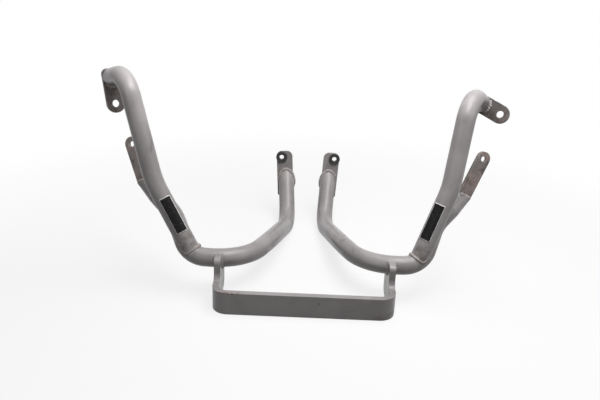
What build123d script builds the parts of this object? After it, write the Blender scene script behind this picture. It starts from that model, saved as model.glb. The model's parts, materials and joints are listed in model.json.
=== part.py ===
from build123d import *
import os
from math import acos, cos, radians, sin, tan

# Motorcycle crash bars: a bent flat-bar bracket that carries two bent and welded tube frames.
# Millimetres. X runs to the right, Y runs back and Z runs up.
# The origin lies under the middle of the bracket's bar, on the plane that the bars stand on.
# A bend station is given as outward, back and up, and the left side mirrors the outward value.

# Reach back from the bracket's bar to the middle of the rear bushes
REAR_REACH = 358.5

# Tubes
TUBE_DIAMETER = 27.0
TUBE_WALL = 2.0
FIT_GAP = 0.1
BEND_SHARE = 0.97
FULL_TURN = 360.0

# Front bracket, a flat bar on edge with both ends bent back
BRACKET_WIDTH = 254.0
BRACKET_THICKNESS = 9.0
BRACKET_HEIGHT = 33.0
BRACKET_BEND_RADIUS = 22.0
ARM_LENGTH = 88.0
ARM_BACK_HEIGHT = 36.0
ARM_SHOULDER_HEIGHT = 47.0
ARM_CORNER_RADIUS = 12.0
NOSE_SETBACK = 38.0
NOSE_HEIGHT = 62.5
NOSE_RADIUS = 7.0
NOSE_ROOT_RADIUS = 11.0
NOSE_HOLE_DIAMETER = 9.0
NOSE_HOLE_SETBACK = 7.0
NOSE_HOLE_HEIGHT = 51.5

# Lower tubes, alike on both sides up to the front bend
LEG_TOP = (37.0, REAR_REACH - 7.3, 61.8)
REAR_BEND = (31.35, REAR_REACH - 76.0, 7.5)
MID_BEND = (56.4, 136.0, 45.3)
SWEEP_BEND = (86.5, 61.5, 50.2)
FRONT_BEND = (166.0, 60.5, 54.0)
REAR_BEND_RADIUS = 63.0
MID_BEND_RADIUS = 179.0
SWEEP_BEND_RADIUS = 77.0
FRONT_BEND_RADIUS = 36.0
BRANCH_BEND_RADIUS = 62.0

# Pressed end of each branch
FLAT_LENGTH = 30.0
FLAT_WIDTH = 25.0
FLAT_THICKNESS = 10.0
FLAT_CLOSED_LENGTH = 3.0

# Upper tubes
UPPER_BEND_RADIUS = 120.0
TOP_BEND_RADIUS = 31.0

# Plates
TOP_TAB_WIDTH = 27.0
TOP_TAB_THICKNESS = 5.0
TOP_TAB_BACK = 13.0
TOP_TAB_CORNER_RADIUS = 8.0
TOP_TAB_HOLE_DIAMETER = 10.5
STRAP_WIDTH = 22.0
STRAP_THICKNESS = 5.0
STRAP_HOLE_DIAMETER = 8.5
STRAP_TWIST = 0.35
REAR_TAB_THICKNESS = 5.0
REAR_TAB_LEAN = 10.0
REAR_TAB_TURN = 3.5
REAR_TAB_TOP = 10.5
REAR_TAB_BOTTOM = 72.0
REAR_TAB_OUTER = 8.8
LEG_OVERHANG = 4.3
REAR_TAB_OUTER_RADIUS = 8.5
REAR_TAB_INNER_RADIUS = 10.0
REAR_TAB_FOOT_RADIUS = 7.0

# Rubber bush in each rear tab
BUSH_CENTRE = (47.0, REAR_REACH, 103.0)
BUSH_DIAMETER = 19.5
BUSH_FLANGE = 3.0
BUSH_NECK_DIAMETER = 13.0
BUSH_BORE_DIAMETER = 8.0
BUSH_EDGE_RADIUS = 1.0

# Label wrapped on each upper tube
LABEL_LENGTH = 55.0
LABEL_ARC = 68.0
LABEL_THICKNESS = 0.5
LABEL_DISTANCE = 60.0
LABEL_TURN = 36.0

# Weld beads
JOINT_BEAD = 1.6
SEAM_BEAD = 2.2
TOP_TAB_BEAD_ARC = 96.0
STRAP_BEAD_LENGTH = 20.0

# Stations that differ from side to side
LEFT_STATIONS = {
    "branch_bend": (193.0, 103.5, 98.0),
    "branch_end": (242.0, 134.5, 137.0),
    "strap_hole": (262.0, 155.5, 186.0),
    "upper_bend": (219.0, 93.5, 153.0),
    "top_bend": (257.0, 119.5, 299.0),
    "upper_end": (289.5, 168.5, 282.0),
    "top_tab_angle": -1.0,
    "top_tab_reach": 38.0,
}
RIGHT_STATIONS = {
    "branch_bend": (188.0, 103.5, 99.0),
    "branch_end": (231.0, 134.5, 134.0),
    "strap_hole": (256.0, 153.5, 186.0),
    "upper_bend": (201.0, 93.5, 160.0),
    "top_bend": (218.5, 119.5, 291.0),
    "upper_end": (246.0, 170.5, 265.5),
    "top_tab_angle": 70.0,
    "top_tab_reach": 32.0,
}

TUBE_RADIUS = TUBE_DIAMETER / 2
BORE_RADIUS = TUBE_RADIUS - TUBE_WALL
BAR_FRONT = -BRACKET_THICKNESS / 2


def fitted_radii(points, radii):
    """Bend radii, drawn in where two neighbouring bends would run into each other."""
    legs = [points[i + 1] - points[i] for i in range(len(points) - 1)]
    reach = [0.0]
    for i, radius in enumerate(radii):
        turn = acos(max(-1.0, min(1.0, legs[i].normalized().dot(legs[i + 1].normalized()))))
        reach.append(radius * tan(turn / 2))
    reach.append(0.0)
    fitted = list(radii)
    for i, leg in enumerate(legs):
        taken = reach[i] + reach[i + 1]
        allowed = BEND_SHARE * leg.length
        if taken > allowed:
            for bend in (i - 1, i):
                if 0 <= bend < len(fitted):
                    fitted[bend] = min(fitted[bend], radii[bend] * allowed / taken)
    return fitted


def bent_route(points, radii):
    """Centre line of a bent tube."""
    with BuildLine() as route:
        FilletPolyline(*points, radius=fitted_radii(points, radii))
    return route.wires()[0]


def rod(route, radius):
    """Solid round bar along a route, used to cut and to shape what meets a tube."""
    with BuildPart() as bar:
        with BuildSketch(Plane(origin=route @ 0, z_dir=route % 0)):
            Circle(radius)
        sweep(path=route)
    return bar.part


def across(direction, axis):
    """Unit part of a direction that is square to an axis."""
    return (direction - axis * direction.dot(axis)).normalized()


class Side:
    """Centre lines, planes and directions of one side of the crash bars."""

    def __init__(self, name, sign, stations):
        self.name = name
        self.sign = sign
        place = {key: self.station(value) for key, value in stations.items() if isinstance(value, tuple)}
        self.outward = Vector(sign, 0, 0)

        # Rear tab plane, facing forward, with the bush at its origin
        lean = radians(REAR_TAB_LEAN)
        turn = radians(REAR_TAB_TURN) * sign
        facing = Vector(0, -cos(lean), sin(lean))
        rise = Vector(0, sin(lean), cos(lean))
        sideways = Vector(1, 0, 0) * cos(turn) - rise * sin(turn)
        self.rear_plane = Plane(origin=self.station(BUSH_CENTRE), x_dir=sideways, z_dir=facing)

        # Lower tube, from beyond the rear tab to the start of the pressed end
        leg_top = self.station(LEG_TOP)
        rear_bend = self.station(REAR_BEND)
        leg_start = leg_top + (leg_top - rear_bend).normalized() * 2 * TUBE_DIAMETER
        branch = (place["branch_end"] - place["branch_bend"]).normalized()
        self.flat_start = place["branch_end"] - branch * FLAT_LENGTH
        self.branch = branch
        self.lower_points = [
            leg_start,
            rear_bend,
            self.station(MID_BEND),
            self.station(SWEEP_BEND),
            self.station(FRONT_BEND),
            place["branch_bend"],
            self.flat_start,
        ]
        self.lower_radii = [
            REAR_BEND_RADIUS,
            MID_BEND_RADIUS,
            SWEEP_BEND_RADIUS,
            FRONT_BEND_RADIUS,
            BRANCH_BEND_RADIUS,
        ]
        self.lower_route = bent_route(self.lower_points, self.lower_radii)
        self.leg = (leg_top - rear_bend).normalized()
        self.leg_seat = leg_top + self.leg * (
            (self.rear_plane.origin - leg_top).dot(facing) / self.leg.dot(facing)
        )

        # Upper tube, from the middle of the front bend to the top tab
        front_arc = self.lower_route.edges().sort_by_distance(self.station(FRONT_BEND))[0]
        self.joint = front_arc @ 0.5
        self.upper_points = [self.joint, place["upper_bend"], place["top_bend"], place["upper_end"]]
        self.upper_radii = [UPPER_BEND_RADIUS, TOP_BEND_RADIUS]
        self.upper_route = bent_route(self.upper_points, self.upper_radii)
        self.upright = (place["upper_bend"] - self.joint).normalized()

        # Top tab, square to the end of the upper tube
        self.top_end = place["upper_end"]
        self.top_axis = (place["upper_end"] - place["top_bend"]).normalized()
        down = across(Vector(0, 0, -1), self.top_axis)
        aside = across(self.outward, self.top_axis)
        aside = across(aside, down)
        angle = radians(stations["top_tab_angle"])
        self.top_tab_way = down * cos(angle) + aside * sin(angle)
        self.top_tab_reach = stations["top_tab_reach"]

        # Side strap, standing on the pressed end of the branch
        self.strap_foot = place["branch_end"]
        self.strap_length = (place["strap_hole"] - place["branch_end"]).length
        self.strap_way = (place["strap_hole"] - place["branch_end"]).normalized()
        self.strap_normal = self.strap_way.cross(Vector(1, STRAP_TWIST * sign, 0)).normalized()
        self.strap_across = self.strap_normal.cross(self.strap_way)

    def station(self, point):
        """A bend station placed on this side."""
        return Vector(self.sign * point[0], point[1], point[2])


def arm_outline():
    """Side view of a bracket arm as a face in the Y-Z plane, before the tube's seat is cut."""
    nose_front = BAR_FRONT + NOSE_SETBACK
    back = BAR_FRONT + ARM_LENGTH
    seat_back = FRONT_BEND[1] + TUBE_RADIUS
    corners = [
        (BAR_FRONT, 0),
        (back, 0),
        (back, ARM_BACK_HEIGHT),
        (seat_back, ARM_SHOULDER_HEIGHT),
        (seat_back - TUBE_RADIUS, NOSE_HEIGHT),
        (nose_front, NOSE_HEIGHT),
        (nose_front, BRACKET_HEIGHT),
        (BAR_FRONT, BRACKET_HEIGHT),
    ]
    rounds = [0, ARM_CORNER_RADIUS, ARM_CORNER_RADIUS / 2, 0, 0, NOSE_RADIUS, NOSE_ROOT_RADIUS, 0]
    with BuildSketch(Plane.YZ) as outline:
        with BuildLine():
            FilletPolyline(*corners, radius=rounds, close=True)
        make_face()
    return outline.sketch


def front_bracket(sides):
    """Flat bar bent into a shallow U, with a bolt nose and a tube seat at each end."""
    inside = BRACKET_WIDTH - 2 * BRACKET_THICKNESS
    with BuildPart() as bracket:
        with BuildSketch() as plan:
            with Locations((0, BAR_FRONT + ARM_LENGTH)):
                Rectangle(BRACKET_WIDTH, 2 * ARM_LENGTH)
            fillet(plan.vertices(), BRACKET_BEND_RADIUS)
            with Locations((0, BAR_FRONT + ARM_LENGTH)):
                RectangleRounded(
                    inside, 2 * (ARM_LENGTH - BRACKET_THICKNESS), BRACKET_BEND_RADIUS - BRACKET_THICKNESS,
                    mode=Mode.SUBTRACT,
                )
        extrude(amount=NOSE_HEIGHT)
        extrude(arm_outline(), amount=BRACKET_WIDTH, both=True, mode=Mode.INTERSECT)
        with BuildSketch(Plane.YZ):
            with Locations((BAR_FRONT + NOSE_SETBACK + NOSE_HOLE_SETBACK, NOSE_HOLE_HEIGHT)):
                Circle(NOSE_HOLE_DIAMETER / 2)
        extrude(amount=BRACKET_WIDTH, both=True, mode=Mode.SUBTRACT)
        for side in sides:
            add(rod(side.lower_route, TUBE_RADIUS + FIT_GAP), mode=Mode.SUBTRACT)
    return bracket.part


def lower_tube(side):
    """Tube from the rear tab, under and forward, across the bracket and up the branch."""
    start = Plane(origin=side.lower_route @ 0, z_dir=side.lower_route % 0)
    flat_way = across(side.strap_across, side.branch)
    flat_start = Plane(origin=side.flat_start, x_dir=flat_way, z_dir=side.branch)
    flat_end = Plane(origin=side.strap_foot, x_dir=side.strap_across, z_dir=side.strap_way)
    with BuildPart() as tube:
        with BuildSketch(start):
            Circle(TUBE_RADIUS)
        sweep(path=side.lower_route)
        with BuildSketch(flat_start):
            Circle(TUBE_RADIUS)
        with BuildSketch(flat_end):
            Ellipse(FLAT_WIDTH / 2, FLAT_THICKNESS / 2)
        loft()
        with BuildSketch(start):
            Circle(BORE_RADIUS)
        sweep(path=side.lower_route, mode=Mode.SUBTRACT)
        with BuildSketch(flat_start):
            Circle(BORE_RADIUS)
        with BuildSketch(flat_end.offset(-FLAT_CLOSED_LENGTH)):
            Ellipse(FLAT_WIDTH / 2 - TUBE_WALL, FLAT_THICKNESS / 2 - TUBE_WALL)
        loft(mode=Mode.SUBTRACT)
        split(bisect_by=side.rear_plane, keep=Keep.TOP)
    return tube.part


def upper_tube(side):
    """Upright tube, coped over the lower tube and bent over at the top."""
    start = Plane(origin=side.upper_route @ 0, z_dir=side.upper_route % 0)
    with BuildPart() as tube:
        with BuildSketch(start):
            Circle(TUBE_RADIUS)
            Circle(BORE_RADIUS, mode=Mode.SUBTRACT)
        sweep(path=side.upper_route)
        add(rod(side.lower_route, TUBE_RADIUS + FIT_GAP), mode=Mode.SUBTRACT)
    return tube.part


def top_tab(side):
    """Bolt plate closing the end of the upper tube, square behind the tube and round at the hole."""
    reach = side.top_tab_reach
    with BuildPart() as tab:
        with BuildSketch(
            Plane(origin=side.top_end, x_dir=side.top_tab_way, z_dir=side.top_axis)
        ) as outline:
            with Locations(((reach - TOP_TAB_BACK) / 2, 0)):
                Rectangle(reach + TOP_TAB_BACK, TOP_TAB_WIDTH)
            fillet(outline.vertices().group_by(Axis.X)[0], TOP_TAB_CORNER_RADIUS)
            with Locations((reach, 0)):
                Circle(TOP_TAB_WIDTH / 2)
                Circle(TOP_TAB_HOLE_DIAMETER / 2, mode=Mode.SUBTRACT)
        extrude(amount=TOP_TAB_THICKNESS)
    return tab.part


def side_strap(side):
    """Flat bolt strap standing on the pressed end of the branch."""
    with BuildPart() as strap:
        with BuildSketch(Plane(origin=side.strap_foot, x_dir=side.strap_way, z_dir=side.strap_normal)):
            with Locations((side.strap_length / 2, 0)):
                Rectangle(side.strap_length, STRAP_WIDTH)
            with Locations((side.strap_length, 0)):
                Circle(STRAP_WIDTH / 2)
                Circle(STRAP_HOLE_DIAMETER / 2, mode=Mode.SUBTRACT)
        extrude(amount=STRAP_THICKNESS / 2, both=True)
    return strap.part


def rear_tab(side):
    """Bolt plate on the end of the leg, with the bush hole in its outer top corner."""
    outer = side.sign * REAR_TAB_OUTER
    leg_side = LEG_TOP[0] - TUBE_RADIUS
    inner = side.sign * (leg_side + LEG_OVERHANG - BUSH_CENTRE[0])
    corners = [
        (outer, REAR_TAB_TOP),
        (inner, REAR_TAB_TOP),
        (inner, -REAR_TAB_BOTTOM),
        (outer, -REAR_TAB_BOTTOM),
    ]
    rounds = [REAR_TAB_OUTER_RADIUS, REAR_TAB_INNER_RADIUS, REAR_TAB_FOOT_RADIUS, REAR_TAB_FOOT_RADIUS]
    with BuildPart() as tab:
        with BuildSketch(side.rear_plane):
            with BuildLine():
                FilletPolyline(*corners, radius=rounds, close=True)
            make_face()
            Circle(BUSH_NECK_DIAMETER / 2 + FIT_GAP, mode=Mode.SUBTRACT)
        extrude(amount=-REAR_TAB_THICKNESS)
    return tab.part


def rear_bush(side):
    """Rubber bush with a flange on each face of the rear tab."""
    with BuildPart() as bush:
        with BuildSketch(side.rear_plane):
            Circle(BUSH_DIAMETER / 2)
        extrude(amount=BUSH_FLANGE)
        with BuildSketch(side.rear_plane):
            Circle(BUSH_NECK_DIAMETER / 2)
        extrude(amount=-REAR_TAB_THICKNESS)
        with BuildSketch(side.rear_plane.offset(-REAR_TAB_THICKNESS)):
            Circle(BUSH_DIAMETER / 2)
        extrude(amount=-BUSH_FLANGE)
        with BuildSketch(side.rear_plane.offset(BUSH_FLANGE)):
            Circle(BUSH_BORE_DIAMETER / 2)
        extrude(amount=-(REAR_TAB_THICKNESS + 2 * BUSH_FLANGE), mode=Mode.SUBTRACT)
        rims = bush.edges().filter_by(GeomType.CIRCLE).group_by(SortBy.RADIUS)[-1]
        faces = rims.sort_by(Axis(side.rear_plane.origin, side.rear_plane.z_dir))
        fillet([faces[0], faces[-1]], BUSH_EDGE_RADIUS)
    return bush.part


def label(side):
    """Thin blank label wrapped part of the way round the upper tube."""
    front = across(Vector(0, -1, 0), side.upright)
    inward = across(side.outward * -1, side.upright)
    inward = across(inward, front)
    turn = radians(LABEL_TURN)
    facing = front * cos(turn) + inward * sin(turn)
    half = radians(LABEL_ARC / 2)
    reach = TUBE_DIAMETER
    with BuildPart() as patch:
        with BuildSketch(
            Plane(origin=side.joint + side.upright * LABEL_DISTANCE, x_dir=facing, z_dir=side.upright)
        ):
            Circle(TUBE_RADIUS + FIT_GAP + LABEL_THICKNESS)
            Circle(TUBE_RADIUS + FIT_GAP, mode=Mode.SUBTRACT)
            with BuildLine():
                Polyline(
                    (0, 0),
                    (reach * cos(half), -reach * sin(half)),
                    (reach * cos(half), reach * sin(half)),
                    close=True,
                )
            make_face(mode=Mode.INTERSECT)
        extrude(amount=LABEL_LENGTH / 2, both=True)
    return patch.part


def joint_weld(side):
    """Bead along the seam where the upper tube sits on the lower one."""
    with BuildPart() as bead:
        add(rod(side.upper_route, TUBE_RADIUS + JOINT_BEAD))
        add(rod(side.lower_route, TUBE_RADIUS + JOINT_BEAD), mode=Mode.INTERSECT)
        add(rod(side.upper_route, TUBE_RADIUS), mode=Mode.SUBTRACT)
        add(rod(side.lower_route, TUBE_RADIUS), mode=Mode.SUBTRACT)
    return bead.part


def top_tab_weld(side):
    """Bead in the corner between the upper tube's end and the top tab."""
    start = side.top_tab_way.rotate(Axis((0, 0, 0), side.top_axis), -TOP_TAB_BEAD_ARC / 2)
    with BuildPart() as bead:
        with BuildSketch(Plane(origin=side.top_end, x_dir=start, z_dir=start.cross(side.top_axis * -1))):
            with Locations((TUBE_RADIUS, 0)):
                Circle(SEAM_BEAD)
            with Locations((TUBE_RADIUS + SEAM_BEAD, SEAM_BEAD)):
                Rectangle(2 * SEAM_BEAD, 2 * SEAM_BEAD, mode=Mode.INTERSECT)
        revolve(axis=Axis(side.top_end, side.top_axis), revolution_arc=TOP_TAB_BEAD_ARC)
    return bead.part


def strap_weld(side):
    """Beads along both faces of the strap where it stands on the pressed end."""
    foot = side.strap_foot - side.strap_across * (STRAP_BEAD_LENGTH / 2)
    with BuildPart() as bead:
        with BuildSketch(Plane(origin=foot, x_dir=side.strap_normal, z_dir=side.strap_across)):
            with Locations((STRAP_THICKNESS / 2, 0), (-STRAP_THICKNESS / 2, 0)):
                Circle(SEAM_BEAD)
            Rectangle(STRAP_THICKNESS, 3 * SEAM_BEAD, mode=Mode.SUBTRACT)
            with Locations((0, -2 * SEAM_BEAD)):
                Rectangle(4 * STRAP_THICKNESS, 4 * SEAM_BEAD, mode=Mode.SUBTRACT)
        extrude(amount=STRAP_BEAD_LENGTH)
    return bead.part


def rear_tab_weld(side):
    """Bead round the slanting end of the leg on the face of the rear tab."""
    facing = side.rear_plane.z_dir
    slant = abs(side.leg.dot(facing))
    seam_plane = Plane(origin=side.leg_seat, x_dir=across(side.leg, facing), z_dir=facing)
    with BuildLine(seam_plane) as seam:
        EllipticalCenterArc((0, 0), TUBE_RADIUS / slant, TUBE_RADIUS, start_angle=0, arc_size=FULL_TURN)
    path = seam.wires()[0]
    with BuildPart() as bead:
        with BuildSketch(Plane(origin=path @ 0, z_dir=path % 0)):
            Circle(SEAM_BEAD)
        sweep(path=path)
        add(rod(side.lower_route, TUBE_RADIUS), mode=Mode.SUBTRACT)
        split(bisect_by=side.rear_plane, keep=Keep.TOP)
    return bead.part


def bracket_weld(side):
    """Beads along both faces of the bracket arm under the lower tube."""
    outer_face = side.sign * BRACKET_WIDTH / 2
    inner_face = outer_face - side.sign * BRACKET_THICKNESS
    with BuildPart() as bead:
        extrude(Pos(outer_face, 0, 0) * arm_outline(), amount=side.sign * SEAM_BEAD)
        extrude(Pos(inner_face, 0, 0) * arm_outline(), amount=-side.sign * SEAM_BEAD)
        add(rod(side.lower_route, TUBE_RADIUS + SEAM_BEAD), mode=Mode.INTERSECT)
        add(rod(side.lower_route, TUBE_RADIUS), mode=Mode.SUBTRACT)
    return bead.part


def save(part, node):
    """Name a finished sub-part and write its file."""
    part.label = node
    export_step(part, f"parts/{node}.step")


os.makedirs("parts", exist_ok=True)
both_sides = [Side("left", -1, LEFT_STATIONS), Side("right", 1, RIGHT_STATIONS)]
save(front_bracket(both_sides), "front_bracket")
for each in both_sides:
    save(lower_tube(each), f"{each.name}_lower_tube")
    save(upper_tube(each), f"{each.name}_upper_tube")
    save(top_tab(each), f"{each.name}_top_tab")
    save(side_strap(each), f"{each.name}_side_strap")
    save(rear_tab(each), f"{each.name}_rear_tab")
    save(rear_bush(each), f"{each.name}_rear_bush")
    save(label(each), f"{each.name}_label")
    save(joint_weld(each), f"{each.name}_joint_weld")
    save(top_tab_weld(each), f"{each.name}_top_tab_weld")
    save(strap_weld(each), f"{each.name}_strap_weld")
    save(rear_tab_weld(each), f"{each.name}_rear_tab_weld")
    save(bracket_weld(each), f"{each.name}_bracket_weld")
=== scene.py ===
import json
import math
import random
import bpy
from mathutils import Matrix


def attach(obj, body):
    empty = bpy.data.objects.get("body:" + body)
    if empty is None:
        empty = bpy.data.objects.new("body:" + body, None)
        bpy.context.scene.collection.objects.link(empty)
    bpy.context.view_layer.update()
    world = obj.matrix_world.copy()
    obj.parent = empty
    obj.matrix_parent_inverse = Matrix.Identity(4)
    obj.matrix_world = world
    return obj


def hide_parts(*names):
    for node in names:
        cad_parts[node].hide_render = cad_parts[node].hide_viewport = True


bl_info = {
    "name": "Motorcycle Crash Bars",
    "version": (1, 0, 0),
    "blender": (4, 5, 0),
    "location": "3D View > Sidebar > Crash Bars",
    "description": "Dresses a pair of welded tube crash bars and stands them on a studio floor",
    "category": "Object",
}

import bmesh
import bpy
from bpy.props import FloatProperty, FloatVectorProperty, IntProperty, PointerProperty
from mathutils import Matrix, Vector
from mathutils.bvhtree import BVHTree

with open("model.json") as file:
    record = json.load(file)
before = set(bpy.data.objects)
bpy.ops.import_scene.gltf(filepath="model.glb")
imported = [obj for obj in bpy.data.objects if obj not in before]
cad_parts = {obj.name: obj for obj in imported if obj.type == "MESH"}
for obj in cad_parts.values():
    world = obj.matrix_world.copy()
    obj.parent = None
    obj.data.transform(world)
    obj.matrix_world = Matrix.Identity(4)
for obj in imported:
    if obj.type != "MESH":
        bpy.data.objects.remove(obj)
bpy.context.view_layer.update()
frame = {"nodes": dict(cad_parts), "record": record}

MILLIMETRE = 0.001

# Places in metres and directions. What is given once is for the right side, and the left mirrors it.
TUBE_RADIUS = 0.0135
SIDES = {"left": -1, "right": 1}
JOINT = {"left": (-0.162297, 0.064548, 0.057767), "right": (0.16148, 0.06501, 0.058306)}
UPRIGHT = {"left": (-0.494986, 0.252731, 0.831334), "right": (0.350476, 0.25266, 0.901848)}
TOP_END = {"left": (-0.2895, 0.1685, 0.282), "right": (0.246, 0.1705, 0.2655)}
STRAP_FOOT = {"left": (-0.242, 0.1345, 0.137), "right": (0.231, 0.1345, 0.134)}
STRAP_THICKNESS = 5 * MILLIMETRE
LEG_SEAT = (0.037003, 0.351241, 0.061832)
LEG_WAY = (0.064387, 0.782904, 0.618802)
ARM_SEATS = (
    ((0.118, 0.06365, 0.05158), (0.9619, -0.2672, 0.0579)),
    ((0.127, 0.06172, 0.0521), (0.9873, -0.1494, 0.0536)),
)

# Marks in the paint, in metres: darker brown patches by an upright's foot, chips on the bar's left end, a
# nick in its face
DARK_BROWN_PLACE = (0.1685, 0.067, 0.0695)
DARK_BROWN_REACH = (0.013, 0.027)
CHIPS_OUTER_END = (-0.128, -0.122)
CHIPS_INNER_END = (-0.080, -0.098)
CHIPS_HEIGHT = (0.0305, 0.0325)
CHIPS_DEPTH = (0.0005, -0.0025)
NICK_PLACE = (0.0205, -0.0045, 0.0227)
NICK_REACH = (0.0006, 0.0013)
NICK_SQUEEZE = (1, 1, 0.4)

# Streaks: a small share draws them out along that axis
TUBE_GRAIN = (1.0, 0.55, 0.22)
BAR_GRAIN = (0.22, 0.55, 1.0)
SCRATCH_GRAIN = (1.0, 1.0, 0.12)

# Shares of black scale on the straps and on the top tabs
STRAP_SCALE = 0.0
TAB_SCALE = 0.58

# Weld beads: shares of a bead's radius, and how full each seam is laid
RINGS_PER_RIPPLE = 7
RIPPLE_SIZES = (0.86, 1.12)
RIPPLE_CURVE = 2.2
THIN_BEAD = 0.5
FULL_BEAD = 1.45
BEAD_TIP = 0.45
BEAD_TIP_LENGTH = 1.2
JOINT_FADE = 1.4
FULLNESS = {"rear_tab": 0.62, "top_tab": 0.6, "strap": 0.85, "bracket": 0.35}

# Lamps: place and target, width and height in metres, and how far the light spreads
SOFT = math.pi
NARROW = math.radians(40)
LAMPS = {
    "overhead": ((0.2, 0.02, 0.86), (0.03, 0.1, 0.1), 0.7, 0.5, SOFT),
    "rear": ((-0.05, 0.42, 0.9), (0, 0.25, 0.05), 0.6, 0.4, SOFT),
    "side": ((0.75, -0.2, 0.45), (0.2, 0.12, 0.14), 0.5, 0.4, SOFT),
    "front": ((-0.69, -0.71, 0.5), (0, 0.1, 0.2), 0.2, 0.45, SOFT),
    "left_strip": ((-0.15, -0.05, 0.59), (-0.262, 0.12, 0.34), 0.26, 0.16, NARROW),
    "right_strip": ((0.175, -0.09, 0.56), (0.222, 0.115, 0.295), 0.26, 0.16, NARROW),
}
WHITE = (1, 1, 1, 1)
PICTURE_WIDTH = 36


# Settings


class PaintSettings(bpy.types.PropertyGroup):
    """Silver paint on the tubes, the bracket, the rear tabs and the welds"""

    light: FloatVectorProperty(
        name="Light Silver", description="Clean paint", subtype="COLOR", size=4, min=0, max=1,
        default=(0.405, 0.378, 0.378, 1),
    )
    dark: FloatVectorProperty(
        name="Dull Silver", description="Paint dulled by handling", subtype="COLOR", size=4, min=0, max=1,
        default=(0.32, 0.297, 0.297, 1),
    )
    # Rubbed marks, also used as the painted shade in the weld ripples' valleys
    scuff_and_shade: FloatVectorProperty(
        name="Scuff", description="Rubbed marks in the paint", subtype="COLOR", size=4, min=0, max=1,
        default=(0.19, 0.17, 0.162, 1),
    )
    # Darker brown beside an upright's foot, and in the bracket's nick
    dark_brown: FloatVectorProperty(
        name="Soot", description="Brown soot beside a weld", subtype="COLOR", size=4, min=0, max=1,
        default=(0.15, 0.122, 0.108, 1),
    )
    bare: FloatVectorProperty(
        name="Bare Edge", description="Steel that shows where an edge is worn", subtype="COLOR", size=4,
        min=0, max=1, default=(0.47, 0.42, 0.40, 1),
    )
    rust: FloatVectorProperty(
        name="Rusty Chip", description="Rust in the chips of the bracket's edge", subtype="COLOR", size=4,
        min=0, max=1, default=(0.17, 0.1, 0.08, 1),
    )
    # Pale warm patches on the welds: partly the weld's own colour, partly a painted highlight
    weld_tint_and_highlight: FloatVectorProperty(
        name="Weld Tint", description="Warm tint of the paint over a weld", subtype="COLOR", size=4,
        min=0, max=1, default=(0.60, 0.53, 0.50, 1),
    )


class SteelSettings(bpy.types.PropertyGroup):
    """Dark oxidised steel of the top tabs and the side straps"""

    dark: FloatVectorProperty(
        name="Dark Steel", description="Oxidised steel", subtype="COLOR", size=4, min=0, max=1,
        default=(0.155, 0.137, 0.131, 1),
    )
    warm: FloatVectorProperty(
        name="Warm Steel", description="Brownish patches", subtype="COLOR", size=4, min=0, max=1,
        default=(0.215, 0.17, 0.155, 1),
    )
    black: FloatVectorProperty(
        name="Blackened Steel", description="Scale that darkens the top tabs", subtype="COLOR", size=4,
        min=0, max=1, default=(0.03, 0.025, 0.024, 1),
    )
    rubbed: FloatVectorProperty(
        name="Rubbed Steel", description="Lighter metal where it is rubbed", subtype="COLOR", size=4,
        min=0, max=1, default=(0.42, 0.39, 0.38, 1),
    )


class EdgeSettings(bpy.types.PropertyGroup):
    """Rounded edges of the bracket and the plates"""

    bracket: FloatProperty(
        name="Bracket Edge", description="Radius of the bracket's edges", subtype="DISTANCE", unit="LENGTH",
        default=0.9 * MILLIMETRE, min=0.1 * MILLIMETRE, max=3 * MILLIMETRE,
    )
    plate: FloatProperty(
        name="Plate Edge", description="Radius of the plates' edges", subtype="DISTANCE", unit="LENGTH",
        default=0.6 * MILLIMETRE, min=0.1 * MILLIMETRE, max=2 * MILLIMETRE,
    )
    steps: IntProperty(name="Edge Steps", description="Facets across a rounded edge", default=3, min=1, max=6)


class WeldSettings(bpy.types.PropertyGroup):
    """Rippled weld beads"""

    joint: FloatProperty(
        name="Joint Bead", description="Radius of the bead round an upright's foot", subtype="DISTANCE",
        unit="LENGTH", default=2.3 * MILLIMETRE, min=MILLIMETRE, max=3 * MILLIMETRE,
    )
    seam: FloatProperty(
        name="Plate Bead", description="Radius of the beads on plates and bracket", subtype="DISTANCE",
        unit="LENGTH", default=2.6 * MILLIMETRE, min=MILLIMETRE, max=3 * MILLIMETRE,
    )
    ripple: FloatProperty(
        name="Ripple", description="Length of one ripple along a bead", subtype="DISTANCE", unit="LENGTH",
        default=3.3 * MILLIMETRE, min=MILLIMETRE, max=6 * MILLIMETRE,
    )
    depth: FloatProperty(
        name="Ripple Depth", description="Share of the bead's radius that its ripples take", default=0.24,
        min=0, max=0.5,
    )
    top_tab_arc: FloatProperty(
        name="Top Tab Arc", description="Arc of the bead on a top tab", subtype="ANGLE",
        default=math.radians(96), min=0, max=math.radians(180),
    )
    strap_length: FloatProperty(
        name="Strap Bead Length", description="Length of the beads at a strap's foot", subtype="DISTANCE",
        unit="LENGTH", default=20 * MILLIMETRE, min=5 * MILLIMETRE, max=24 * MILLIMETRE,
    )


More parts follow.
